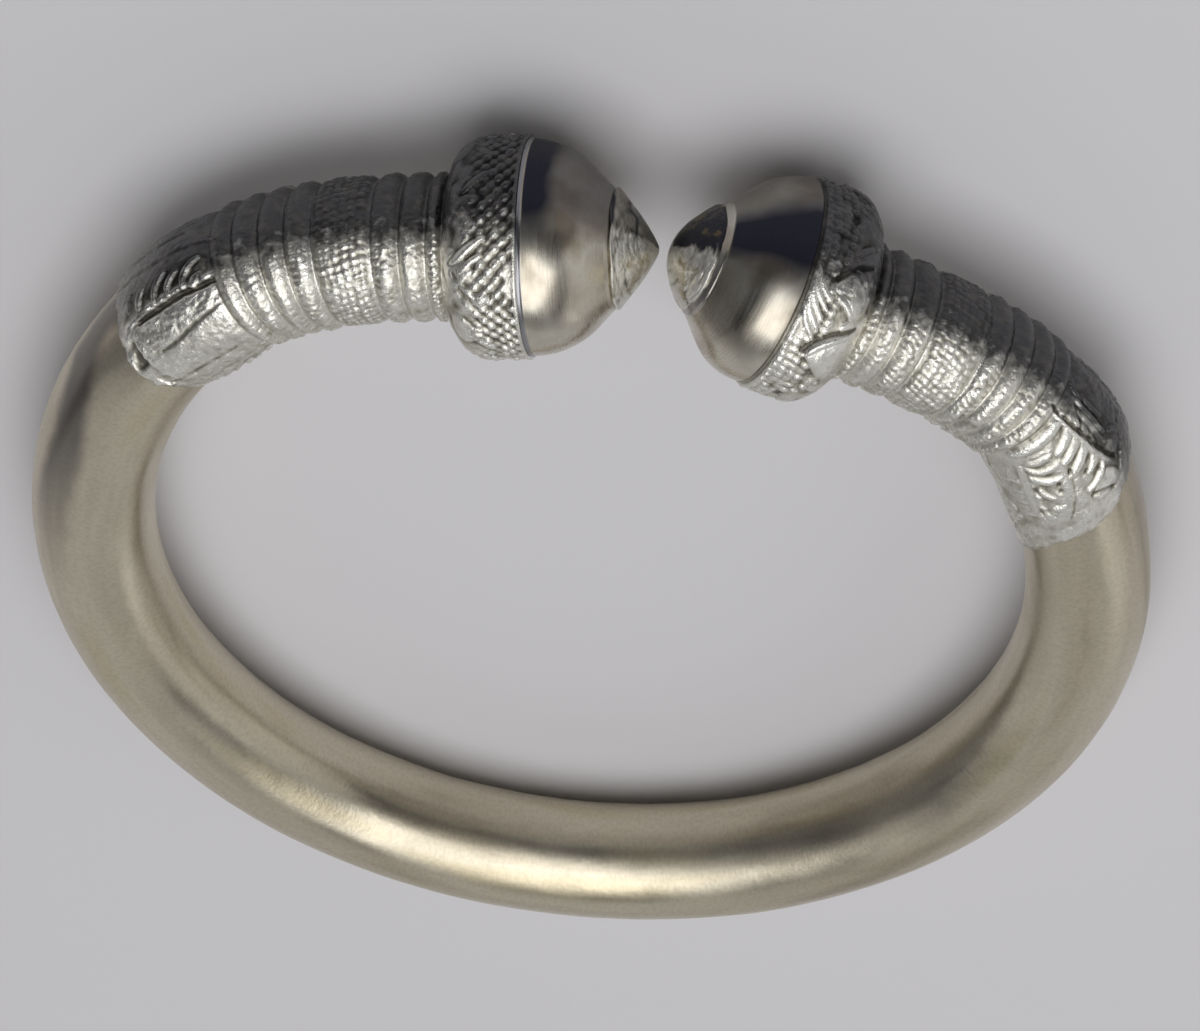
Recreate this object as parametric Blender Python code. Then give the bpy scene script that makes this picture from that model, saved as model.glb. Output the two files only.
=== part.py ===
"""A silver anklet: a round tube bent into a hoop, open at the front.

Each end of the tube wears a chased collar of leaves, rings and beads that opens into a textured flare,
and the flare is closed by a plain dome with a small blunt cap. The two caps nearly touch.
The ring lies on its two knobs and on the middle of its back.
Lengths are in metres, +Z is up and the gap between the knobs is at +Y.
"""

import math

import bmesh
import bpy
import numpy as np
from mathutils import Vector
from mathutils.geometry import interpolate_bezier

MM = 0.001

# The hoop
HOOP_RADIUS = 52.0 * MM                # from the middle of the ring to the middle of the tube
HOOP_BACK_DIAMETER = 12.7 * MM         # the tube at the middle of the back
HOOP_SIDE_DIAMETER = 13.1 * MM         # the tube where it meets the collars
TIP_GAP = 1.0 * MM                     # between the two tips
JOINT_GAP = 0.3 * MM                   # between pieces that meet

# Wear has bent the two ends a little differently: one value for the left end, one for the right
FRONT_SETBACK = {"left": 4.3 * MM, "right": 2.9 * MM}    # tips inside the round of the hoop
KNOB_SLOPE = {"left": math.radians(15.3), "right": math.radians(15.5)}    # knob against the gap line
SHOULDER_ANGLE = {"left": math.radians(62.0), "right": math.radians(76.0)}    # from the gap
SHOULDER_EASE = {"left": (0.45, 0.35), "right": (0.41, 0.51)}    # softness at the neck and at the hoop
TIP_LIFT = {"left": 0.4 * MM, "right": 1.1 * MM}         # how far each tip is knocked up

# The knobs, from the tip backwards
FINIAL_LENGTH = {"left": 4.4 * MM, "right": 3.6 * MM}    # the right tip is worn shorter
FINIAL_DIAMETER = {"left": 12.2 * MM, "right": 11.3 * MM}
FINIAL_RIM = 0.9 * MM                  # thickness of the cap's ragged foot
FINIAL_RAGGEDNESS = 0.03               # how uneven the foot's outline is, as a share of its radius
FINIAL_BELLY = 0.25 * MM               # how far the cap's cone bulges
FINIAL_WEAR = {"left": 0.8 * MM, "right": 2.4 * MM}   # radius of each worn tip
DOME_LENGTH = {"left": 8.6 * MM, "right": 7.9 * MM}
DOME_END_DIAMETER = {"left": 11.8 * MM, "right": 11.0 * MM}
DOME_SLOPE = math.radians(47.0)        # the cone that the dome ends in, against its axis
KNOB_DIAMETER = 21.8 * MM              # the dome at the seam
FLARE_PROUD = 0.5 * MM                 # how far the flare's edge stands out over the dome
FLARE_LENGTH = {"left": 8.0 * MM, "right": 8.3 * MM}
FLARE_FULLNESS = 4.5                   # the higher, the squarer the flare's back
FLARE_SOFTNESS = 0.6                   # the lower, the steeper it comes down to the neck

# The neck, from the knob backwards
NECK_DIAMETER = {"left": 15.0 * MM, "right": 14.4 * MM}    # over the crests of the rings
RING_GROOVE = 0.55 * MM                # how deep the valleys between the rings are
RIB_FULLNESS = 5                       # the higher, the broader a ring's crest
FRONT_RINGS = 3
FRONT_RINGS_LENGTH = 7.3 * MM
BEAD_BAND_LENGTH = 6.1 * MM
BACK_RINGS = 3
BACK_RINGS_LENGTH = 7.4 * MM
LEAF_LENGTH = {"left": 13.6 * MM, "right": 15.5 * MM}
LEAF_SLANT = {"left": 0.2 * MM, "right": 4.6 * MM}    # how much further the leaves run on the inside
LAPPET_REACH = 1.6 * MM                # how far the leaf tips run on over the hoop
LAPPETS = 3
LAPPET_CLEFT = 16                      # the higher, the narrower the valleys between the leaves
LAPPET_TURN = {"left": math.radians(75.0), "right": math.radians(50.0)}
SHEET_STEP = 0.35 * MM                 # how far the collar's sheet stands proud of the hoop
CARVING_DEPTH = 0.45 * MM              # of the lozenges, the beads and the leaf veins

COLUMNS = 30                           # facets round the tube
HOOP_ROWS = 32
FLARE_ROWS = 9
RIB_ROWS = 4
LEAF_ROWS = 8
BEAD_ROWS = 8
DOME_ROWS = 7
FLARE_LOBES = 8
SHOULDER_POINTS = 60                   # along each bent shoulder of the middle line
ROUND_POINTS = 160                     # along each half of its round

SIDES = ("left", "right")

# Distances from each tip
SEAM = {side: FINIAL_LENGTH[side] + DOME_LENGTH[side] for side in SIDES}
KNOB_END = {side: SEAM[side] + FLARE_LENGTH[side] for side in SIDES}
FRONT_RINGS_END = {side: KNOB_END[side] + FRONT_RINGS_LENGTH for side in SIDES}
BEADS_END = {side: FRONT_RINGS_END[side] + BEAD_BAND_LENGTH for side in SIDES}
BACK_RINGS_END = {side: BEADS_END[side] + BACK_RINGS_LENGTH for side in SIDES}
COLLAR_END = {side: BACK_RINGS_END[side] + LEAF_LENGTH[side] for side in SIDES}

# Colours as linear RGB
FINISHES = {
    "hoop_silver": ((0.42, 0.38, 0.31), 0.34),
    "chased_silver": ((0.52, 0.51, 0.47), 0.30),
    "polished_silver": ((0.46, 0.42, 0.36), 0.18),
    "worn_silver": ((0.44, 0.42, 0.37), 0.45),
}


def clear_objects():
    for old in list(bpy.data.objects):
        bpy.data.objects.remove(old, do_unlink=True)


def half_line(side):
    """Points along the middle of one half of the tube, from its tip to the middle of the back."""
    tip = Vector((TIP_GAP / 2, HOOP_RADIUS - FRONT_SETBACK[side], 0.0))
    knob_heading = Vector((math.cos(KNOB_SLOPE[side]), -math.sin(KNOB_SLOPE[side]), 0.0))
    knob_end = tip + knob_heading * KNOB_END[side]
    start = SHOULDER_ANGLE[side]
    round_start = HOOP_RADIUS * Vector((math.sin(start), math.cos(start), 0.0))
    round_heading = Vector((math.cos(start), -math.sin(start), 0.0))
    span = (round_start - knob_end).length
    neck_ease, hoop_ease = SHOULDER_EASE[side]
    shoulder = interpolate_bezier(
        knob_end, knob_end + neck_ease * span * knob_heading,
        round_start - hoop_ease * span * round_heading, round_start, SHOULDER_POINTS)
    half_round = [
        HOOP_RADIUS * Vector((math.sin(angle), math.cos(angle), 0.0))
        for angle in np.linspace(start, math.pi, ROUND_POINTS)]
    points = np.array([tip] + list(shoulder) + half_round[1:])[:, :2]
    return points if side == "right" else points * (-1.0, 1.0)


def middle_line():
    """Points along the middle of the tube, from the right tip round the back to the left tip."""
    return np.vstack([half_line("right"), half_line("left")[-2::-1]])


LINE = middle_line()
LINE_STEPS = np.hypot(*np.diff(LINE, axis=0).T)
LINE_DISTANCE = np.concatenate([[0.0], np.cumsum(LINE_STEPS)])
LINE_LENGTH = LINE_DISTANCE[-1]


def lift(distance):
    """The height of the middle line: level as far as the seams, then up to the knocked tips."""
    side = "right" if distance < LINE_LENGTH / 2 else "left"
    station = min(distance, LINE_LENGTH - distance)
    return TIP_LIFT[side] * max(0.0, 1.0 - station / SEAM[side])


def on_line(distance):
    """The point of the middle line at a distance from the right tip."""
    return Vector((
        float(np.interp(distance, LINE_DISTANCE, LINE[:, 0])),
        float(np.interp(distance, LINE_DISTANCE, LINE[:, 1])),
        lift(distance)))


def place(distance, turn, radius):
    """A point on the tube: turn 0 faces out of the ring and a quarter turn faces up."""
    step = 0.2 * MM
    heading = on_line(distance + step) - on_line(distance - step)
    outward = Vector((-heading.y, heading.x, 0.0)).normalized()
    upward = Vector((0.0, 0.0, 1.0))
    return on_line(distance) + (math.cos(turn) * outward + math.sin(turn) * upward) * float(radius)


def from_tip(side, station):
    """Turn a distance from a side's own tip into a distance along the whole line."""
    return station if side == "right" else LINE_LENGTH - station


def smooth(share):
    share = min(max(share, 0.0), 1.0)
    return share * share * (3.0 - 2.0 * share)


def plain(radius):
    """A row that is a plain circle."""
    return lambda turn, column: radius


def hoop_radius(distance):
    """The tube is a little slimmer at the back than where it meets the collars."""
    half = LINE_LENGTH / 2
    from_back = abs(distance - half) / (half - max(COLLAR_END.values()))
    return (HOOP_BACK_DIAMETER + (HOOP_SIDE_DIAMETER - HOOP_BACK_DIAMETER) * smooth(from_back)) / 2


def lappet_end(side, turn):
    """Where the leaf tips end, measured from the side's own tip."""
    wave = abs(math.cos(LAPPETS / 2 * (turn - LAPPET_TURN[side])))
    return COLLAR_END[side] + LAPPET_REACH * (wave - 0.5) - LEAF_SLANT[side] * math.cos(turn)


def flare_rows(side):
    """The cup behind the dome: full and nearly straight at the seam, rounding down to the neck."""
    rows = []
    root = NECK_DIAMETER[side] / 2 - RING_GROOVE
    rise = KNOB_DIAMETER / 2 + FLARE_PROUD - root
    start = SEAM[side] + JOINT_GAP / 2
    for index in range(FLARE_ROWS):
        share = 1.0 - (1.0 - index / FLARE_ROWS) ** 1.5    # closer together towards the neck
        station = start + share * (KNOB_END[side] - start)
        fullness = (1.0 - share ** FLARE_FULLNESS) ** FLARE_SOFTNESS

        def radius(turn, column, share=share, index=index, fullness=fullness):
            raised = (index + column) % 2 == 0 or index == 0
            lozenge = 0.0 if raised else CARVING_DEPTH
            lobe = CARVING_DEPTH * math.sin(FLARE_LOBES / 2 * turn) ** 2 * smooth(4.0 * share - 2.0)
            return root + rise * fullness - max(lozenge, lobe) * smooth(2.0 * fullness)

        rows.append((station, radius))
    return rows


def ring_rows(side, start, length, count):
    """Plain rings side by side, each a rounded rib between two sharp valleys."""
    rows = []
    for index in range(count * RIB_ROWS):
        ribs_passed = index / RIB_ROWS
        depth = abs(math.cos(math.pi * ribs_passed)) ** RIB_FULLNESS
        radius = NECK_DIAMETER[side] / 2 - RING_GROOVE * depth
        rows.append((start + ribs_passed * length / count, plain(radius)))
    return rows


def bead_rows(side):
    """The beaded band: small knobs set in staggered rows on a slightly bulging band."""
    rows = []
    for index in range(BEAD_ROWS):
        share = index / BEAD_ROWS
        station = FRONT_RINGS_END[side] + share * BEAD_BAND_LENGTH
        bulge = NECK_DIAMETER[side] / 2 - RING_GROOVE * (1.0 - math.sin(math.pi * share) ** 0.4)

        def radius(turn, column, index=index, bulge=bulge):
            sunk = index > 0 and (index + column) % 2 == 1
            return bulge - (CARVING_DEPTH if sunk else 0.0)

        rows.append((station, radius))
    return rows


def leaf_rows(side):
    """The leaf lappets: veined blades that spread from the last ring and end in tongues on the hoop."""
    rows = []
    neck = NECK_DIAMETER[side] / 2 - RING_GROOVE
    edge = HOOP_SIDE_DIAMETER / 2 + SHEET_STEP
    for index in range(LEAF_ROWS + 1):
        share = index / LEAF_ROWS
        swell = RING_GROOVE * math.sin(math.pi * share) ** 0.6
        radius = neck + (edge - neck) * smooth(share) + swell
        vein_depth = CARVING_DEPTH * math.sin(math.pi * share) ** 0.5

        def blade(turn, column, radius=radius, vein_depth=vein_depth, share=share):
            between = abs(math.sin(LAPPETS / 2 * (turn - LAPPET_TURN[side])))
            vein = vein_depth if column % 2 else 0.0
            valley = CARVING_DEPTH * between ** LAPPET_CLEFT if 0.0 < share < 1.0 else 0.0
            return radius - max(vein, valley)

        def station(turn, share=share):
            full_length = lappet_end(side, turn) - JOINT_GAP / 2 - BACK_RINGS_END[side]
            return BACK_RINGS_END[side] + share * full_length

        rows.append((station, blade))
    return rows


def skin(name, rows, finish, tip_rise=0.0, parent=None):
    """Roll a flat grid into a closed tube through the rows, close both ends and name the piece.

    Each row is a distance along the middle line, or a function of turn that gives it, and a function
    of turn and column that gives the radius. tip_rise lifts the middle of the last end.
    """
    sheet = bmesh.new()
    bmesh.ops.create_grid(sheet, x_segments=COLUMNS, y_segments=len(rows) - 1, size=1.0)
    for vertex in sheet.verts:
        column = round((vertex.co.x + 1.0) / 2.0 * COLUMNS) % COLUMNS
        row = round((vertex.co.y + 1.0) / 2.0 * (len(rows) - 1))
        turn = column * math.tau / COLUMNS
        distance, radius = rows[row]
        along = distance(turn) if callable(distance) else distance
        vertex.co = place(along, turn, radius(turn, column))
    bmesh.ops.remove_doubles(sheet, verts=sheet.verts, dist=0.005 * MM)
    rims = [edge for edge in sheet.edges if edge.is_boundary]
    caps = bmesh.ops.holes_fill(sheet, edges=rims, sides=0)["faces"]
    last = on_line(rows[-1][0](0.0) if callable(rows[-1][0]) else rows[-1][0])
    caps.sort(key=lambda face: (face.calc_center_median() - last).length)
    bmesh.ops.recalc_face_normals(sheet, faces=sheet.faces)
    bmesh.ops.poke(sheet, faces=[caps[0]], offset=tip_rise)
    bmesh.ops.poke(sheet, faces=[caps[1]])
    bmesh.ops.recalc_face_normals(sheet, faces=sheet.faces)

    mesh = bpy.data.meshes.new(name)
    sheet.to_mesh(mesh)
    sheet.free()
    mesh.shade_smooth()
    mesh.set_sharp_from_angle(angle=math.radians(50.0))
    mesh.materials.append(finish)
    piece = bpy.data.objects.new(name, mesh)
    piece.parent = parent
    bpy.context.collection.objects.link(piece)
    return piece


def hoop_rows():
    """From the right collar's leaf tips round the back to the left collar's."""
    rows = []
    for index in range(HOOP_ROWS + 1):
        share = index / HOOP_ROWS

        def station(turn, share=share):
            start = lappet_end("right", turn) + JOINT_GAP / 2
            end = LINE_LENGTH - lappet_end("left", turn) - JOINT_GAP / 2
            return start + share * (end - start)

        middle = COLLAR_END["right"] + share * (LINE_LENGTH - COLLAR_END["right"] - COLLAR_END["left"])
        rows.append((station, plain(hoop_radius(middle))))
    return rows


def collar_rows(side):
    rows = flare_rows(side)
    rows += ring_rows(side, KNOB_END[side], FRONT_RINGS_LENGTH, FRONT_RINGS)
    rows += bead_rows(side)
    rows += ring_rows(side, BEADS_END[side], BACK_RINGS_LENGTH, BACK_RINGS)
    rows += leaf_rows(side)
    return along_side(side, rows)


def along_side(side, rows):
    """Give rows that are counted from a side's tip their places on the whole middle line."""
    placed = []
    for station, radius in rows:
        if callable(station):
            placed.append((lambda turn, station=station: from_tip(side, station(turn)), radius))
        else:
            placed.append((from_tip(side, station), radius))
    return placed


def dome_rows(side):
    """From the seam forwards: a round shoulder that runs out into a cone under the cap."""
    rear = SEAM[side] - JOINT_GAP / 2
    front = FINIAL_LENGTH[side] + JOINT_GAP / 2
    length = rear - front
    drop = (KNOB_DIAMETER - DOME_END_DIAMETER[side]) / 2
    steep = math.tan(DOME_SLOPE)
    round_radius = (length * steep - drop) / (math.sin(DOME_SLOPE) * steep - 1.0 + math.cos(DOME_SLOPE))
    rows = [(rear, plain(KNOB_DIAMETER / 2))]
    for index in range(1, DOME_ROWS):
        angle = DOME_SLOPE * index / (DOME_ROWS - 1)
        station = rear - round_radius * math.sin(angle)
        rows.append((station, plain(KNOB_DIAMETER / 2 - round_radius * (1.0 - math.cos(angle)))))
    rows.append((front, plain(DOME_END_DIAMETER[side] / 2)))
    return rows


def finial_rows(side):
    """The blunt cap: a ragged foot, then a cone whose tip is worn round."""
    foot = FINIAL_DIAMETER[side] / 2
    waist = foot - FINIAL_RIM / 2
    rear = FINIAL_LENGTH[side] - JOINT_GAP / 2
    cone_start = rear - FINIAL_RIM - JOINT_GAP
    wear = FINIAL_WEAR[side]
    tip_height = wear / 8
    shoulder = 3 * tip_height

    def ragged(turn, column):
        return foot * (1.0 + FINIAL_RAGGEDNESS * (math.sin(3 * turn) - math.cos(5 * turn + 1.0)) / 2)

    rows = [
        (rear, plain(foot - FINIAL_RIM / 4)),
        (rear - FINIAL_RIM / 3, ragged),
        (rear - FINIAL_RIM, ragged),
        (cone_start, plain(waist)),
        ((cone_start + shoulder) / 2, plain((waist + wear) / 2 + FINIAL_BELLY)),
        (shoulder, plain(wear)),
        (tip_height, plain(0.6 * wear)),
    ]
    return rows, tip_height


def silver(name):
    colour, roughness = FINISHES[name]
    material = bpy.data.materials.new(name)
    material.use_nodes = True
    shader = material.node_tree.nodes["Principled BSDF"]
    shader.inputs["Base Color"].default_value = (*colour, 1.0)
    shader.inputs["Roughness"].default_value = roughness
    shader.inputs["Metallic"].default_value = 1.0
    return material


def lowest(points, up):
    return Vector(points[np.argmin(points @ up)])


def lay_down(rest, hoop, knobs):
    """Lean the ring until both knobs and the back touch the ground, then centre it over the origin."""
    groups = [np.array([vertex.co for piece in group for vertex in piece.data.vertices])
              for group in (knobs["left"], knobs["right"], [hoop])]
    groups[2] = groups[2][groups[2][:, 1] < 0.0]
    up = Vector((0.0, 0.0, 1.0))
    for settle in range(6):
        left, right, back = [lowest(points, up) for points in groups]
        up = (left - back).cross(right - back).normalized()
        if up.z < 0.0:
            up.negate()
    lean = up.rotation_difference(Vector((0.0, 0.0, 1.0)))
    turn = np.array(lean.to_matrix())
    everything = [piece for group in knobs.values() for piece in group] + [hoop]
    corners = np.array([vertex.co for piece in everything for vertex in piece.data.vertices]) @ turn.T
    low = corners.min(axis=0)
    high = corners.max(axis=0)
    rest.rotation_euler = lean.to_euler()
    rest.location = (-(low[0] + high[0]) / 2, -(low[1] + high[1]) / 2, -low[2])


def main():
    clear_objects()
    finishes = {name: silver(name) for name in FINISHES}
    rest = bpy.data.objects.new("rest_pose", None)
    bpy.context.collection.objects.link(rest)
    hoop = skin("hoop", hoop_rows(), finishes["hoop_silver"], parent=rest)
    knobs = {}
    for side in SIDES:
        collar = skin("chased_collar_" + side, collar_rows(side), finishes["chased_silver"], parent=rest)
        dome = skin(
            "knob_dome_" + side, along_side(side, dome_rows(side)), finishes["polished_silver"], parent=rest)
        rows, tip_height = finial_rows(side)
        cap = skin("finial_cap_" + side, along_side(side, rows), finishes["worn_silver"], tip_height, rest)
        knobs[side] = [collar, dome, cap]
    lay_down(rest, hoop, knobs)


main()
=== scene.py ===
# %% [markdown]
# # A silver anklet with knobbed ends
# The object is a penannular anklet: a round tube of silver sheet bent into a hoop that stays open at the
# front. Each end wears a collar chased with leaves, rings and beads. The collar opens into a textured
# flare, a plain polished dome closes the flare, and a small rough cap sits on the dome.
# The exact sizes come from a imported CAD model, which is loaded first. Each piece below is a finer mesh of
# the same form, because chased relief is far too fine for the CAD solids.

import math
from types import SimpleNamespace

import bmesh
import bpy
import numpy as np
from mathutils import Euler, Matrix, Vector
from mathutils.geometry import interpolate_bezier


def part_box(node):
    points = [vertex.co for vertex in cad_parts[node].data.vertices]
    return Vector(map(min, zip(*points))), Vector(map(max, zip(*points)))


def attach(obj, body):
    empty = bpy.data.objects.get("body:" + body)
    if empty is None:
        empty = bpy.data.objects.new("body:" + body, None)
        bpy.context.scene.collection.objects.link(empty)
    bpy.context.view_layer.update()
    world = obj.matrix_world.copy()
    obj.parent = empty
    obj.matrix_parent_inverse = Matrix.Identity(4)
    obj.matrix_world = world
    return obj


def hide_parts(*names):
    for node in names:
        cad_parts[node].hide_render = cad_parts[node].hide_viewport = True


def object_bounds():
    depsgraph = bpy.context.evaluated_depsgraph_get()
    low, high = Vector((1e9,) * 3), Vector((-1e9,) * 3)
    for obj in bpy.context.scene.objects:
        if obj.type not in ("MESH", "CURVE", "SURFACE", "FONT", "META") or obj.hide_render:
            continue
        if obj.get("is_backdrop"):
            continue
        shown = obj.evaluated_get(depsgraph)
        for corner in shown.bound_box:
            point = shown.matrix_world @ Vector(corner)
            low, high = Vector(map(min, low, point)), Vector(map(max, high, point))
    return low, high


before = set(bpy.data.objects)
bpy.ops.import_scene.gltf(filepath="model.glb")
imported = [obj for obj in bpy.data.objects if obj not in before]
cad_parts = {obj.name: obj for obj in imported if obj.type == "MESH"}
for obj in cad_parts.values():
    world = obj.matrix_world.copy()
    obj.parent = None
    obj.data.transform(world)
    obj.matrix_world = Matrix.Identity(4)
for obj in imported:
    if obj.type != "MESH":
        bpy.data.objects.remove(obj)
cad_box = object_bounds()
print("nodes:", sorted(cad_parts))

# %% [markdown]
# ## The line down the middle of the tube
# Everything on this object is wrapped round one bent line, so the line comes first. It starts at the right
# tip, runs straight through the knob, bends at the shoulder, goes round the hoop and mirrors back to the
# left tip. Wear has bent the two ends differently, so each side has its own values.
# A curve object would also do, but a plain list of points lets every grid be wrapped by the same rule.
# Sizes are in millimetres. A station is a distance along the line from a side's own tip.

# %% The middle line
MM = 0.001
SIDES = ("left", "right")
HOOP_RADIUS = 52.0
HOOP_BACK_DIAMETER = 12.7
HOOP_SIDE_DIAMETER = 13.1
TIP_GAP = 1.0
FRONT_SETBACK = {"left": 4.3, "right": 2.9}
KNOB_SLOPE = {"left": 15.3, "right": 15.5}
SHOULDER_ANGLE = {"left": 62.0, "right": 76.0}
SHOULDER_EASE = {"left": (0.45, 0.35), "right": (0.41, 0.51)}
TIP_LIFT = {"left": 0.4, "right": 1.1}
FINIAL_LENGTH = {"left": 4.4, "right": 3.6}
SEAM = {"left": 13.0, "right": 11.5}
FLARE_END = {"left": 21.0, "right": 19.8}
BACK_RINGS_END = {"left": 41.8, "right": 40.6}
COLLAR_END = {"left": 55.4, "right": 56.1}
SHOULDER_POINTS = 300
ROUND_POINTS = 600


def half_line(side):
    """Points from one tip, through the knob and the shoulder, to the middle of the back."""
    slope = math.radians(KNOB_SLOPE[side])
    start = math.radians(SHOULDER_ANGLE[side])
    tip = Vector((TIP_GAP / 2, HOOP_RADIUS - FRONT_SETBACK[side], 0.0))
    knob_heading = Vector((math.cos(slope), -math.sin(slope), 0.0))
    knob_end = tip + knob_heading * FLARE_END[side]
    round_start = HOOP_RADIUS * Vector((math.sin(start), math.cos(start), 0.0))
    round_heading = Vector((math.cos(start), -math.sin(start), 0.0))
    span = (round_start - knob_end).length
    neck_ease, hoop_ease = SHOULDER_EASE[side]
    shoulder = interpolate_bezier(
        knob_end, knob_end + neck_ease * span * knob_heading,
        round_start - hoop_ease * span * round_heading, round_start, SHOULDER_POINTS)
    half_round = [
        HOOP_RADIUS * Vector((math.sin(angle), math.cos(angle), 0.0))
        for angle in np.linspace(start, math.pi, ROUND_POINTS)]
    points = np.array([tip] + list(shoulder) + half_round[1:])[:, :2]
    return points if side == "right" else points * (-1.0, 1.0)


LINE = np.vstack([half_line("right"), half_line("left")[-2::-1]])
LINE_DISTANCE = np.concatenate([[0.0], np.cumsum(np.hypot(*np.diff(LINE, axis=0).T))])
LINE_LENGTH = LINE_DISTANCE[-1]
print(f"middle line: {LINE_LENGTH:.1f} mm from tip to tip")

# %% [markdown]
# ## How the ring lies
# The knobs are fatter than the hoop, so the ring leans: it touches the ground with both knobs and with the
# middle of its back. The lean and the lift are the ones of the CAD model. The cell checks them by comparing
# the back of the hoop with the CAD node.

# %% Ring coordinates to the world
REST = Matrix.Translation(Vector((-0.0288, 0.6500, 9.0501)) * MM) @ Euler(
    (math.radians(2.9855), math.radians(0.1786), 0.0)).to_matrix().to_4x4()


def on_line(distance):
    return np.stack([np.interp(distance, LINE_DISTANCE, LINE[:, axis]) for axis in (0, 1)], -1)


def from_tip(side, station):
    """A distance from a side's own tip, as a distance along the whole line."""
    return station if side == "right" else LINE_LENGTH - station


def lift(distance):
    """Each tip has been knocked up a little, from its seam onwards."""
    stations = {"right": distance, "left": LINE_LENGTH - distance}
    return sum(TIP_LIFT[side] * np.clip(1.0 - stations[side] / SEAM[side], 0.0, 1.0) for side in SIDES)


def wrap(distance, turn, radius):
    """World points on the tube: a turn of 0 degrees faces out of the ring and 90 degrees faces up."""
    step = 0.2
    heading = on_line(distance + step) - on_line(distance - step)
    heading /= np.linalg.norm(heading, axis=-1, keepdims=True)
    sideways = np.stack([-heading[..., 1], heading[..., 0]], -1)
    angle = np.radians(turn)
    flat = on_line(distance) + sideways * (radius * np.cos(angle))[..., None]
    height = radius * np.sin(angle) + lift(distance)
    ring = np.concatenate([flat, height[..., None]], -1) * MM
    return ring @ np.array(REST.to_3x3()).T + np.array(REST.translation)


def all_round(count):
    """Evenly spaced turns all the way round the tube, in degrees."""
    return np.linspace(0.0, 360.0, count, endpoint=False)


back = wrap(np.full(360, LINE_LENGTH / 2), all_round(360), np.full(360, HOOP_BACK_DIAMETER / 2))
hoop_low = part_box("hoop")[0]
print(f"back of the hoop against the CAD node: {1000 * (back[:, 1].min() - hoop_low.y):.3f} mm along Y, "
      f"{1000 * (back[:, 2].min() - hoop_low.z):.3f} mm up")

# %% [markdown]
# ## The camera
# The picture was taken with a long lens from the open side of the ring, about 40 degrees above it, and the
# frame is turned so that the knobs are at the top. The camera is placed in ring coordinates and then
# leaned with the ring.

# %% Camera
CAMERA_HEIGHT_ANGLE = 40.35
CAMERA_SIDE_ANGLE = -4.40
CAMERA_ROLL = 187.41
CAMERA_DISTANCE = 900.0
FRAME_WIDTH = 1200
FRAME_HEIGHT = 1031
FOCAL_PIXELS = 8639.3
CENTRE_PIXEL = (589.0, 548.4)

rise = math.radians(CAMERA_HEIGHT_ANGLE)
swing = math.radians(CAMERA_SIDE_ANGLE)
towards = Vector((math.sin(swing) * math.cos(rise), math.cos(swing) * math.cos(rise), math.sin(rise)))
level = Vector((0.0, 0.0, 1.0)).cross(towards).normalized()
roll = Matrix.Rotation(math.radians(CAMERA_ROLL), 3, towards)
camera_turn = Matrix((roll @ level, roll @ towards.cross(level), towards)).transposed()
camera_data = bpy.data.cameras.new("camera")
camera_data.sensor_width = 36.0
camera_data.lens = FOCAL_PIXELS / FRAME_WIDTH * camera_data.sensor_width
camera_data.shift_x = (FRAME_WIDTH / 2 - CENTRE_PIXEL[0]) / FRAME_WIDTH
camera_data.shift_y = (CENTRE_PIXEL[1] - FRAME_HEIGHT / 2) / FRAME_WIDTH
camera_data.clip_start = 0.05
camera = bpy.data.objects.new("camera", camera_data)
bpy.context.scene.collection.objects.link(camera)
camera.matrix_world = REST @ Matrix.Translation(towards * CAMERA_DISTANCE * MM) @ camera_turn.to_4x4()
bpy.context.scene.camera = camera
print(f"camera: {camera_data.lens:.0f} mm lens, {camera.location.length:.2f} m away")

# %% [markdown]
# ## Rolling a sheet into a tube
# A real collar starts as a flat sheet of silver that is chased from the front and the back and rolled round
# the tube. The meshes here are made the same way: a flat grid gets a radius and a place along the line for
# each of its points, its two long edges are merged, and both ends are closed.
# Each point also keeps two things for the materials: where it is on the straightened tube, so that brush
# marks follow the tube, and how dark it is made. On chased work that is tarnish, set by how deep it sits
# below its surroundings, because rubbing never reaches the hollows. On the hoop, the domes and the outer side
# of the caps it also holds a painted dark reflection.

# %% Helpers: roll a grid into a closed tube


def blur(field, rows, columns):
    """A soft average over a patch: it wraps round the tube and stops at the ends."""
    tall = 2 * rows + 1
    wide = 2 * columns + 1
    for _ in range(2):
        padded = np.pad(field, ((rows, rows), (0, 0)), mode="edge")
        padded = np.pad(padded, ((0, 0), (columns, columns)), mode="wrap")
        total = np.pad(padded.cumsum(0).cumsum(1), ((1, 0), (1, 0)))
        patch = total[tall:, wide:] - total[:-tall, wide:] - total[tall:, :-wide] + total[:-tall, :-wide]
        field = patch / (tall * wide)
    return field


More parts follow.
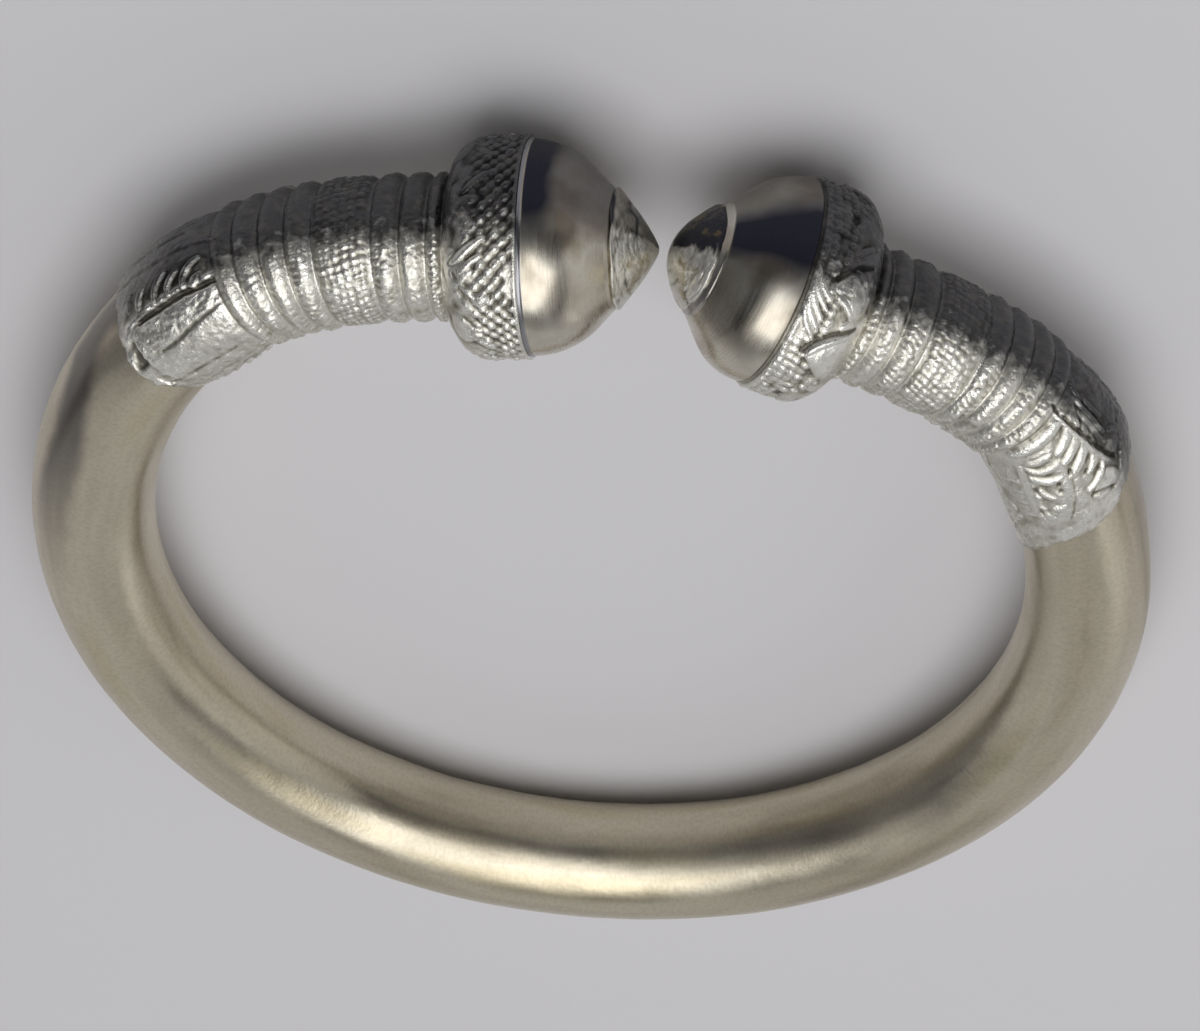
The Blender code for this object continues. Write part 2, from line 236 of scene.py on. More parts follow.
def roll_sheet(name, side, station, turn, radius, tarnish_and_shade):
    """Wrap a rows x columns map of radii round the line, and close it to a solid skin."""
    rows, columns = radius.shape
    flat = bmesh.new()
    bmesh.ops.create_grid(flat, x_segments=columns, y_segments=rows - 1, size=1.0)
    mesh = bpy.data.meshes.new(name)
    flat.to_mesh(mesh)
    flat.free()

    def closed(field):
        field = np.broadcast_to(field, radius.shape)
        return np.concatenate([field, field[:, :1]], axis=1)

    points = wrap(from_tip(side, closed(station)), closed(turn), closed(radius))
    mesh.vertices.foreach_set("co", points.reshape(-1))
    angle = np.radians(closed(turn))
    straight = np.stack([closed(radius) * np.cos(angle), closed(radius) * np.sin(angle), closed(station)], -1)
    on_tube = mesh.attributes.new("straightened", "FLOAT_VECTOR", "POINT")
    on_tube.data.foreach_set("vector", straight.reshape(-1))
    # The darkening map: tarnish in chased hollows, and painted dark reflection on the hoop, the domes and the
    # caps' outer side.
    darkening = mesh.attributes.new("tarnish_and_shade", "FLOAT", "POINT")
    darkening.data.foreach_set("value", closed(tarnish_and_shade).reshape(-1))

    tube = bmesh.new()
    tube.from_mesh(mesh)
    tube.verts.ensure_lookup_table()
    seam = [tube.verts[row * (columns + 1) + column] for row in range(rows) for column in (0, columns)]
    bmesh.ops.remove_doubles(tube, verts=seam, dist=0.001 * MM)
    rims = [edge for edge in tube.edges if edge.is_boundary]
    caps = bmesh.ops.holes_fill(tube, edges=rims, sides=0)["faces"]
    bmesh.ops.recalc_face_normals(tube, faces=tube.faces)
    bmesh.ops.poke(tube, faces=caps)
    bmesh.ops.recalc_face_normals(tube, faces=tube.faces)
    tube.to_mesh(mesh)
    tube.free()
    mesh.shade_smooth()
    piece = bpy.data.objects.new(name, mesh)
    bpy.context.scene.collection.objects.link(piece)
    print(f"{name}: {rows} x {columns} points, {sum(len(p.vertices) - 2 for p in mesh.polygons)} triangles")
    return piece


def even_rows(profile, start, end, count):
    """Stations spaced evenly along a profile's own surface, so that steep walls get rows too."""
    fine = np.linspace(start, end, 6000)
    steps = np.hypot(np.diff(fine), np.diff(profile(fine)))
    travelled = np.concatenate([[0.0], np.cumsum(steps)])
    return np.interp(np.linspace(0.0, travelled[-1], count), travelled, fine)


# %% [markdown]
# ## Small marks that repeat
# Chasing is done with a few punches: a ring punch for beads, a rounded one for blades, a sharp one for
# lines. So there is one function for each punch. Each works on a sheet: maps of the station, the turn, the
# plain radius and the height of the relief in mm.
# The work was done by eye and has been worn since, so the marks read stations and turns that wander a
# little. That way no row comes out quite straight and no two beads are alike.

# %% Helpers: soft edges, the sheet and its random grain


def smooth(share):
    share = np.clip(share, 0.0, 1.0)
    return share * share * (3.0 - 2.0 * share)


def between(value, low, high, edge):
    """1 inside a range and 0 outside it, with soft edges."""
    return smooth((value - low) / edge + 0.5) * smooth((high - value) / edge + 0.5)


def mix(below, above, share):
    """One surface where the share is 0, and the other where it is 1."""
    return below * (1.0 - share) + share * above


def signed(turn):
    """A turn as an angle from -180 to 180 degrees."""
    return (turn + 180.0) % 360.0 - 180.0


def new_sheet(base, turns, place, plain):
    """Maps for chasing. base and turns are the grid's own lines, place is where each point really lies."""
    shape = place.shape
    return SimpleNamespace(
        rows=base, columns=turns, place=place, around=np.broadcast_to(turns[None, :], shape),
        station=np.broadcast_to(base[:, None], shape), turn=np.broadcast_to(turns[None, :], shape),
        plain=np.broadcast_to(plain, shape), height=np.zeros(shape))


def grain(sheet, size, seed):
    """Rough random relief between -1 and 1, with bumps of a size in mm. It closes round the tube."""
    around = max(8, round(math.tau * float(np.median(sheet.plain)) / size))
    first = float(sheet.station.min())
    along = int((float(sheet.station.max()) - first) / size) + 3
    knots = np.random.default_rng(seed).uniform(-1.0, 1.0, (along, around))
    u = (sheet.station - first) / size
    v = (sheet.turn % 360.0) / 360.0 * around
    row = np.floor(u).astype(int)
    column = np.floor(v).astype(int) % around
    beside = (column + 1) % around
    over = smooth(v - np.floor(v))
    upper = mix(knots[row, column], knots[row, beside], over)
    lower = mix(knots[row + 1, column], knots[row + 1, beside], over)
    return mix(upper, lower, smooth(u - np.floor(u)))


def rough_grain(sheet, seed):
    """The grain of worn and corroded metal: bumps of half a millimetre and finer ones on them."""
    return 0.6 * grain(sheet, 0.5, seed) + 0.4 * grain(sheet, 0.27, seed + 1)


def unsteady(sheet, seed):
    """Bend the stations and turns that the punches read."""
    along = 0.15 * grain(sheet, 2.8, seed) + 0.07 * grain(sheet, 1.0, seed + 1)
    sideways = 0.15 * grain(sheet, 2.8, seed + 2) + 0.07 * grain(sheet, 1.0, seed + 3)
    sheet.station = sheet.station + along
    sheet.turn = sheet.turn + np.degrees(sideways / sheet.plain)


# %% Helpers: the chaser's punches
HEIGHT_SETTING = 4


def lay(sheet, surface, share):
    """Replace the relief by another surface where the share is 1."""
    sheet.height = mix(sheet.height, surface, share)


def across(sheet, turn):
    """Signed distance round the tube from a turn, in mm."""
    return np.radians(signed(sheet.turn - turn)) * sheet.plain


def ridge(sheet, station, wide):
    """A soft ridge all round the tube, 1 high."""
    return np.exp(-((sheet.station - station) / wide) ** 2)


def pearls(sheet, first, rows, pitch, seed, lean=0.0, fill=0.5):
    """Rows of worn beads from a station onwards, 1 high. lean slides each row round by a share of the
    pitch, and fill is a bead's radius as a share of the pitch."""
    count = round(math.tau * float(np.interp(first, sheet.rows, sheet.plain[:, 0])) / pitch)
    chance = np.random.default_rng(seed)
    shift = chance.uniform(-0.14, 0.14, (rows, count)) * pitch
    drift = chance.uniform(-0.14, 0.14, (rows, count)) * pitch
    size = chance.uniform(0.8, 1.15, (rows, count)) * pitch * fill
    wear = chance.uniform(0.45, 1.0, (rows, count))
    row = np.clip(np.round((sheet.station - first) / pitch), 0, rows - 1).astype(int)
    slot = sheet.turn / 360.0 * count + 0.5 * (row % 2) + lean * row
    bead = np.round(slot).astype(int) % count
    side_on = (slot - np.round(slot)) * pitch - shift[row, bead]
    end_on = sheet.station - first - row * pitch - drift[row, bead]
    share = (side_on ** 2 + end_on ** 2) / size[row, bead] ** 2
    return wear[row, bead] * np.clip(1.0 - share, 0.0, 1.0) ** 0.7


def reach(sheet, start, end, bow, wide, blunt=0.5):
    """How far points lie from a curved stroke between two (station, turn) places: 0 on its back and 1 at
    its edge. bow pushes the middle of the stroke sideways, in mm, and a low blunt makes its ends blunt."""
    plain = float(np.interp((start[0] + end[0]) / 2, sheet.rows, sheet.plain[:, 0]))
    per_degree = math.radians(1.0) * plain
    middle_turn = (start[1] + end[1]) / 2
    a = np.array([start[0], start[1] * per_degree])
    b = np.array([end[0], end[1] * per_degree])
    along = b - a
    length = float(np.linalg.norm(along))
    sideways = np.array([-along[1], along[0]]) / length
    margin = 2 * wide + abs(bow) + 0.3
    low = np.minimum(a, b) - margin
    top = np.maximum(a, b) + margin
    rows = (sheet.rows > low[0]) & (sheet.rows < top[0])
    columns = np.abs(signed(sheet.columns - middle_turn)) * per_degree < (top[1] - low[1]) / 2
    far = np.full(sheet.station.shape, 9.0)
    if not rows.any() or not columns.any():
        return far
    patch = np.ix_(rows, columns)
    x = sheet.station[patch]
    y = (signed(sheet.turn[patch] - middle_turn) + middle_turn) * per_degree
    nearest = np.full(x.shape, 1e9)
    share_there = np.zeros(x.shape)
    steps = max(15, math.ceil(length / (0.5 * wide)))
    for share in np.linspace(0.0, 1.0, steps):
        point = a + along * share + sideways * bow * 4 * share * (1 - share)
        gap = np.hypot(x - point[0], y - point[1])
        closer = gap < nearest
        nearest = np.where(closer, gap, nearest)
        share_there = np.where(closer, share, share_there)
    taper = 0.4 + 0.6 * np.sin(math.pi * np.clip(share_there, 0.02, 0.98)) ** blunt
    far[patch] = nearest / (wide * taper)
    return far


def blade(sheet, start, end, bow, wide, high, groove=0.12, blunt=0.5):
    """A smooth raised blade over whatever relief is there, with a cut line round it."""
    edge = reach(sheet, start, end, bow, wide, blunt)
    lay(sheet, high * np.clip(1.0 - edge ** 2, 0.0, 1.0) ** 0.7, smooth((1.3 - edge) / 0.4))
    sheet.height = sheet.height - groove * np.exp(-((edge - 1.2) / 0.22) ** 2)


def cut(sheet, start, end, bow, wide, deep, blunt=0.3):
    """A line pressed in with a chisel, or a raised one where deep is below 0."""
    edge = reach(sheet, start, end, bow, wide, blunt)
    sheet.height = sheet.height - deep * np.clip(1.0 - edge ** 2, 0.0, 1.0)


def leaf(sheet, centre, long, wide, lean, high, groove, texture=0.0):
    """A smooth raised leaf with a cut line round it. Its tip points to the seam, turned by lean degrees."""
    x = sheet.station - centre[0]
    y = across(sheet, centre[1])
    turn = math.radians(lean)
    u = (x * math.cos(turn) + y * math.sin(turn)) / long
    v = (y * math.cos(turn) - x * math.sin(turn)) / (wide * (1.0 + 0.6 * np.clip(u, -1.0, 1.0)))
    field = 1.0 - u ** 2 - v ** 2
    lay(sheet, high * np.sqrt(np.clip(field, 0.0, 1.0)) + texture, smooth(field / 0.25))
    sheet.height = sheet.height - groove * np.exp(-(field / 0.15) ** 2)


def chase(sheet, turn, strength, marks):
    """Set a group of marks, each a punch with its settings. The places among them are slid round by a turn,
    and each mark's height or depth is scaled by the strength."""
    for punch, *settings in marks:
        placed = [(value[0], value[1] + turn) if isinstance(value, tuple) else value for value in settings]
        placed[HEIGHT_SETTING] *= strength
        punch(sheet, *placed)


# %% [markdown]
# ## The hoop
# A plain round tube, slightly slimmer at the back. It was drawn and rubbed smooth, and it has picked up
# shallow dents, pressed inwards so that the hoop still clears the ground. A spun circle would be quicker,
# but the hoop's ends run under leaf tips whose outline waves, so it is rolled from a grid like the rest.
# By the left collar a painted dark reflection starts as a streak on the outer side and climbs to the top as
# it fades. A weaker one lies by the right collar. They are kept in the darkening map for the material.

# %% The hoop
LAPPETS = 3
LAPPET_TURN = {"left": 75.0, "right": 50.0}
LAPPET_REACH = 1.6
LEAF_SLANT = {"left": 0.2, "right": 4.6}
HOOP_COLUMNS = 176
HOOP_ROWS = 420
UNDERLAP = 1.0
PRESSED_IN = 0.06
STREAK_START = 6.0
STREAK_CLIMB = 50.0
STREAK_RUN = 18.0


def leaf_end(side, turn):
    """The station at which the leaf tips end on the hoop."""
    wave = np.abs(np.cos(np.radians(LAPPETS / 2 * (turn - LAPPET_TURN[side]))))
    return COLLAR_END[side] + LAPPET_REACH * (wave - 0.5) - LEAF_SLANT[side] * np.cos(np.radians(turn))


def hoop_radius(distance):
    half = LINE_LENGTH / 2
    from_back = np.abs(distance - half) / (half - max(COLLAR_END.values()))
    return (HOOP_BACK_DIAMETER + (HOOP_SIDE_DIAMETER - HOOP_BACK_DIAMETER) * smooth(from_back)) / 2


# Painted dark reflection: a dark streak on the outer side of the hoop by each collar.
def hoop_dark_streaks(sheet):
    uneven_turn = signed(sheet.turn) + 4.0 * grain(sheet, 9.0, 7) + 3.0 * grain(sheet, 2.0, 8)
    past_left = LINE_LENGTH - sheet.place - COLLAR_END["left"]
    past_right = sheet.place - COLLAR_END["right"]
    climb = STREAK_START + STREAK_CLIMB * smooth(past_left / STREAK_RUN)
    left = between(uneven_turn - climb, -20.0, 18.0, 18.0) * smooth(1.0 - (past_left - 12.0) / 28.0)
    right = between(uneven_turn, -24.0, 20.0, 22.0) * smooth(1.0 - past_right / STREAK_RUN)
    return 0.80 * left + 0.4 * right


turns = all_round(HOOP_COLUMNS)
hoop_start = leaf_end("right", turns) - UNDERLAP
hoop_end = LINE_LENGTH - leaf_end("left", turns) + UNDERLAP
place = hoop_start + np.linspace(0.0, 1.0, HOOP_ROWS)[:, None] * (hoop_end - hoop_start)
sheet = new_sheet(place[:, 0], turns, place, hoop_radius(place))
painted_dark_streaks = hoop_dark_streaks(sheet)
dents = 0.05 * grain(sheet, 9.0, 3) + 0.02 * grain(sheet, 3.0, 4) + 0.006 * grain(sheet, 1.1, 5)
hoop = roll_sheet("silver_hoop", "right", place, turns, sheet.plain + dents - PRESSED_IN, painted_dark_streaks)

# %% [markdown]
# ## The collars: their plain form
# From the knob backwards a collar is a cup, three rings, a beaded band, three more rings and the leaves.
# The plain form comes first: the radius at each station. The rows of the grid are then spaced evenly over
# that form, closer than the beads are wide.

# %% The plain form of a collar
KNOB_RADIUS = 10.9
FLARE_PROUD = 0.3
NECK_RADIUS = {"left": 7.5, "right": 7.2}
LEAF_EDGE_RADIUS = 6.9
RING_GROOVE = 0.62
VALLEYS = {
    "left": (21.0, 22.7, 25.25, 27.9, 33.4, 35.9, 38.3, 40.75, 42.9),
    "right": (19.8, 21.4, 23.8, 26.6, 32.1, 34.4, 36.7, 39.0, 40.9),
}
COLLAR_COLUMNS = 368
COLLAR_ROWS = 268


def flare_radius(side, station):
    root = NECK_RADIUS[side] - RING_GROOVE
    share = np.clip((station - SEAM[side]) / (FLARE_END[side] - SEAM[side]), 0.0, 1.0)
    return root + (KNOB_RADIUS + FLARE_PROUD - root) * (1.0 - share ** 4.5) ** 0.6


def neck_radius(side, station):
    """Rings between narrow valleys. The widest gap between two valleys is the beaded band."""
    valleys = np.array(VALLEYS[side])
    number = np.clip(np.searchsorted(valleys, station, side="right") - 1, 0, len(valleys) - 2)
    width = valleys[number + 1] - valleys[number]
    share = (station - valleys[number]) / width
    dip = np.abs(2.0 * np.clip(share, 0.0, 1.0) - 1.0) ** (0.92 * width)
    return NECK_RADIUS[side] - RING_GROOVE * dip


def leaf_radius(side, station):
    start = VALLEYS[side][-1]
    share = np.clip((station - start) / (COLLAR_END[side] - start), 0.0, 1.0)
    neck = NECK_RADIUS[side] - RING_GROOVE
    return neck + (LEAF_EDGE_RADIUS - neck) * smooth(share) + RING_GROOVE * np.sin(math.pi * share) ** 0.6


def collar_radius(side, station):
    on_leaf = station > VALLEYS[side][-1]
    beyond_flare = np.where(on_leaf, leaf_radius(side, station), neck_radius(side, station))
    return np.where(station < FLARE_END[side], flare_radius(side, station), beyond_flare)


def plain_sheet(side):
    base = even_rows(lambda s: collar_radius(side, s), SEAM[side] + 0.05, COLLAR_END[side], COLLAR_ROWS)
    turns = all_round(COLLAR_COLUMNS)
    leaf_start = BACK_RINGS_END[side]
    share = np.clip((base - leaf_start) / (COLLAR_END[side] - leaf_start), 0.0, 1.0)
    place = base[:, None] + share[:, None] * (leaf_end(side, turns) - COLLAR_END[side])
    return new_sheet(base, turns, place, collar_radius(side, base)[:, None])


sheets = {side: plain_sheet(side) for side in SIDES}
for side, seed in zip(SIDES, (5, 9)):
    unsteady(sheets[side], seed)
    spacing = np.diff(sheets[side].rows)
    print(f"{side} collar rows {spacing.min():.2f} to {spacing.max():.2f} mm apart")

# %% [markdown]
# ## The collars: rings and beads
# The rings are rough, as if half melted, with worn beads all over them, a few columns of clearer beads and
# a few narrow smooth rolls. The valleys are smooth, with a faint raised line at the bottom. The beaded band
# between the two groups of rings is a field of beads 0.8 mm apart. The side that faces out of the ring is
# worn nearly smooth, apart from the beaded band.

# %% Rings and beads
BEAD_PITCH = 0.80
WORN_PITCH = 0.72
BEAD_COLUMNS = {
    "left": ((21.75, 0.70), (22.15, 0.60), (27.3, 0.70), (35.1, 0.72)),
    "right": ((20.7, 0.92), (24.6, 0.75), (25.85, 0.82), (33.9, 0.72), (37.8, 0.60), (39.5, 0.66)),
}
SMOOTH_ROLLS = {"left": (24.65, 37.1, 41.9), "right": (23.3, 26.15, 36.3)}


def chase_neck(side, sheet, seed):
    valleys = VALLEYS[side]
    fine = rough_grain(sheet, seed)
    melted = grain(sheet, 0.95, seed + 2)
    patchy = smooth(0.5 + 0.9 * grain(sheet, 2.4, seed + 3))
    rows = int((valleys[-1] - valleys[0]) / WORN_PITCH)
    worn_beads = pearls(sheet, valleys[0] + WORN_PITCH / 2, rows, WORN_PITCH, seed + 30, lean=0.13)
    relief = 0.11 * fine + 0.05 * melted + 0.17 * worn_beads * (0.3 + 0.7 * patchy)
    for number, (station, pitch) in enumerate(BEAD_COLUMNS[side]):
        beads = pearls(sheet, station, 1, pitch, seed + 4 + number, fill=0.52)
        column = between(sheet.station, station - 0.42 * pitch, station + 0.42 * pitch, 0.3)
        relief = mix(relief, 0.36 * beads * (0.7 + 0.3 * patchy) - 0.10, column)
    for station in SMOOTH_ROLLS[side]:
        relief = mix(relief, 0.12 * (0.7 + 0.3 * patchy), ridge(sheet, station, 0.24))
    outer_side = smooth((np.cos(np.radians(sheet.turn)) - 0.72) / 0.2)
    relief = relief * (1.0 - 0.8 * outer_side)

    band = int(np.argmax(np.diff(valleys)))
    start, end = valleys[band], valleys[band + 1]
    rows = int((end - start - 0.4) / BEAD_PITCH)
    first = start + (end - start - (rows - 1) * BEAD_PITCH) / 2
    beads = pearls(sheet, first, rows, BEAD_PITCH, seed + 20, lean=0.2, fill=0.56)
    field = between(sheet.station, start + 0.2, end - 0.2, 0.3)
    relief = mix(relief, 0.30 * beads * (0.55 + 0.45 * patchy) + 0.05 * fine - 0.16, field)
    for valley in valleys[1:]:
        relief = mix(relief, 0.0, ridge(sheet, valley, 0.24)) + 0.03 * ridge(sheet, valley, 0.15)
    lay(sheet, relief, between(sheet.station, valleys[0] + 0.1, valleys[-1] + 0.1, 0.3))


for side, seed in zip(SIDES, (11, 41)):
    chase_neck(side, sheets[side], seed)
    print(f"{side} neck relief up to {sheets[side].height.max():.2f} mm")

# %% [markdown]
# ## The collars: the flare
# On the left the cup behind the dome is covered with slanting rounded lozenges, which lean the other way
# below a lobed leaf on the upper side. On the right it has small nodules and beads by the seam and two big
# rounded leaves. Smooth blades lie over both. The marks on the upper side are placed where the object has
# them. The ones below repeat them, because that side isn't seen.

# %% Chasing on the flare
THIRDS = (0.0, 120.0, 240.0)
FLARE_LEAF_TURN = 76.0
LOZENGE_PITCH = 1.06
LOZENGE_SIZES = (97, 89)
LEFT_FLARE_MARKS = (
    (blade, (18.4, 13.0), (16.2, 2.0), 0.15, 0.46, 0.34, 0.22),
    (cut, (18.9, 13.5), (17.0, 14.5), 0.1, 0.28, 0.22),
    (blade, (19.6, 52.0), (16.1, 39.5), 0.25, 0.52, 0.34, 0.20),
    (blade, (18.6, 56.0), (16.5, 48.0), 0.2, 0.36, 0.26, 0.12),
    (cut, (19.5, 57.0), (18.9, 60.0), 0.0, 0.40, 0.26),
    (leaf, (16.6, 70.5), 1.0, 0.8, 25.0, 0.30, 0.14),
    (blade, (18.6, 64.0), (17.2, 72.0), 0.15, 0.30, 0.22, 0.12),
    (blade, (18.1, 90.5), (16.9, 92.0), 0.05, 0.30, 0.28, 0.14),
    (blade, (18.0, 95.0), (16.8, 96.5), 0.05, 0.30, 0.28, 0.14),
    (blade, (17.9, 99.5), (16.7, 101.0), 0.05, 0.30, 0.28, 0.14),
    (blade, (17.5, 101.0), (16.1, 107.0), 0.1, 0.42, 0.30, 0.14),
)


def lozenges(sheet, seed):
    """A slanting lattice of rounded bumps, mirrored where it meets the lobed leaf."""
    folded = -np.abs(across(sheet, FLARE_LEAF_TURN)) * KNOB_RADIUS / sheet.plain
    u = (folded + sheet.station) / (math.sqrt(2.0) * LOZENGE_PITCH)
    v = (folded - sheet.station) / (math.sqrt(2.0) * LOZENGE_PITCH)
    along = 2.0 * (u - np.round(u))
    beside = 2.0 * (v - np.round(v))
    chance = np.random.default_rng(seed).uniform(0.35, 1.0, LOZENGE_SIZES)
    size = chance[np.round(u).astype(int) % LOZENGE_SIZES[0], np.round(v).astype(int) % LOZENGE_SIZES[1]]
    return size * np.clip(1.2 - along ** 2 - 1.5 * beside ** 2, 0.0, 1.0) ** 0.8


def leaf_tips(sheet, station, rough):
    """Leaf tips that stand out round the back edge of the cup."""
    for number, turn in enumerate(range(-25, 335, 40)):
        leaf(sheet, (station - 0.4 * (number % 2), turn), 1.7, 1.9, 0.0, 0.24, 0.05, 0.12 * rough)


def chase_left_flare(sheet, seed):
    rough = rough_grain(sheet, seed)
    melted = grain(sheet, 1.1, seed + 3)
    seam_side = smooth((18.6 - sheet.station) / 2.0)
    field = 0.52 * lozenges(sheet, seed + 2) - 0.22
    relief = seam_side * field + 0.08 * rough + (0.20 - 0.12 * seam_side) * melted
    sheet.height = sheet.height + between(sheet.station, 13.3, 21.0, 0.3) * relief
    leaf_tips(sheet, 18.9, rough)
    for turn in THIRDS:
        chase(sheet, turn, 1.0, LEFT_FLARE_MARKS)
    lay(sheet, 0.05, between(sheet.station, 13.3, 14.2, 0.3) * between(sheet.turn % 360.0, 51.0, 70.0, 3.0))


def chase_right_flare(sheet, seed):
    rough = rough_grain(sheet, seed)
    melted = grain(sheet, 1.1, seed + 2)
    sheet.height = sheet.height + between(sheet.station, 11.9, 19.8, 0.3) * (0.10 * rough + 0.13 * melted)
    beads = pearls(sheet, 12.35, 4, 0.92, seed + 3, lean=0.3, fill=0.54)
    nodules = 0.38 * beads - 0.14 + 0.07 * rough + 0.06 * melted
    lay(sheet, nodules, between(sheet.station, 11.95, 15.6, 0.4))
    leaf_tips(sheet, 17.9, rough)
    hatching = [
        (blade, (12.0 + 0.05 * step, 28.0 + 5.5 * step), (14.5, 45.0 + 5.5 * step), 0.3, 0.30, 0.26, 0.10)
        for step in range(5)]
    for turn in THIRDS:
        chase(sheet, turn, 1.0, hatching + [
            (leaf, (16.6, 36.0), 2.3, 2.5, 0.0, 0.30, 0.08, 0.06 * rough + 0.05 * melted),
            (cut, (14.1, 35.0), (18.0, 19.0), -0.30, 0.50, 0.30),
            (blade, (14.8, 38.0), (16.4, 38.5), -0.1, 0.30, 0.42, 0.06),
            (blade, (14.9, 41.5), (17.0, 48.5), -0.2, 0.30, 0.40, 0.08),
            (blade, (16.3, 25.0), (17.7, 31.0), -0.15, 0.36, 0.36, 0.06),
            (leaf, (16.9, 75.0), 2.8, 2.9, 0.0, 0.36, 0.04, 0.03 * rough + 0.05 * melted),
            (cut, (13.9, 75.0), (18.1, 54.5), -0.45, 0.46, 0.34),
            (blade, (14.6, 75.0), (17.7, 59.5), -0.45, 0.40, 0.46, 0.0),
            (blade, (17.6, 8.0), (16.1, 16.5), 0.15, 0.40, 0.32, 0.18),
            (cut, (15.1, -8.5), (15.1, -1.5), 0.0, 0.42, 0.45, 0.6),
            (blade, (16.9, 92.5), (17.4, 96.0), 0.0, 0.34, 0.30, 0.14),
            (blade, (16.1, 98.0), (16.6, 101.0), 0.0, 0.40, 0.32, 0.16),
            (blade, (15.7, 104.0), (16.4, 107.0), 0.0, 0.36, 0.28, 0.14)])


chase_left_flare(sheets["left"], 71)
chase_right_flare(sheets["right"], 91)
for side in SIDES:
    print(f"{side} flare relief {sheets[side].height.min():.2f} to {sheets[side].height.max():.2f} mm")

# %% [markdown]
# ## The collars: the leaves
# The sheet ends in three leaves that lap over the hoop. On the left a large plain tongue lies under a long
# straight cut, with a comb of curved feathers above it. On the right two fans of veins spread like palm
# fronds, one upwards and one downwards. Both are worn, so the marks are shallow and blurred, and the two
# copies on the unseen sides are shallower still.

# %% Chasing on the left leaf
WORN_THIRDS = ((240.0, 0.6), (120.0, 0.8), (0.0, 1.0))
LEFT_LEAF_MARKS = (
    (cut, (43.0, 42.5), (51.9, 42.5), 0.1, 0.46, 0.50, 0.25),
    (blade, (44.0, 19.0), (45.8, 39.0), -0.60, 0.46, 0.44),
    (blade, (44.2, 33.0), (44.9, 40.0), -0.1, 0.60, 0.30, 0.10),
    (blade, (46.2, 22.5), (47.5, 39.0), -0.50, 0.42, 0.40),
    (blade, (47.6, 18.0), (49.3, 38.0), -0.50, 0.48, 0.44),
    (blade, (50.4, 21.0), (51.5, 36.0), -0.40, 0.42, 0.36),
    (blade, (52.4, 18.0), (52.9, 30.0), -0.25, 0.34, 0.26),
    (cut, (43.2, 60.0), (51.0, 71.0), 0.5, 0.25, 0.22),
    (cut, (43.0, 5.0), (54.0, 1.5), 0.2, 0.30, 0.13),
    (blade, (43.7, 3.5), (41.9, 11.5), 0.1, 0.26, 0.20, 0.06),
    (cut, (45.5, -14.0), (54.5, -22.0), 0.3, 0.34, 0.16),
)


def chase_left_leaf(sheet, seed):
    on_leaf = smooth((sheet.station - 42.8) / 0.5)
    rough = rough_grain(sheet, seed)
    soft = grain(sheet, 1.8, seed + 2)
    sheet.height = sheet.height + on_leaf * (0.10 * rough + 0.04 * soft)
    before_tip = smooth((53.5 - sheet.station) / 0.3)
    for turn, strength in WORN_THIRDS:
        below = across(sheet, turn + 43.0)
        tongue = smooth(below / 0.5 + 0.5) * smooth((8.2 - below) / 2.5) * on_leaf * before_tip
        stipple = smooth((3.4 - below + 0.1 * (sheet.station - 48.0)) / 1.2)
        lay(sheet, 0.20 + rough * (0.09 + 0.11 * stipple) + 0.03 * soft, tongue)
        crescent = between(across(sheet, turn + 50.0), 0.0, 2.9, 0.8)
        crescent = crescent * between(sheet.station, 53.5, 55.0, 0.5)
        sheet.height = sheet.height - 0.34 * strength * crescent
        cut(sheet, (53.4, turn + 40.0), (54.9, turn + 96.0), -1.3, 1.15, -0.36 * strength, 0.4)
        ragged = 0.30 + 0.16 * rough + 0.14 * soft
        cut(sheet, (42.9, turn + 37.0), (52.6, turn + 38.5), 0.1, 0.62, -strength * ragged, 0.3)
        chase(sheet, turn, strength, LEFT_LEAF_MARKS)


chase_left_leaf(sheets["left"], 121)
print(f"left leaf relief {sheets['left'].height.min():.2f} to {sheets['left'].height.max():.2f} mm")

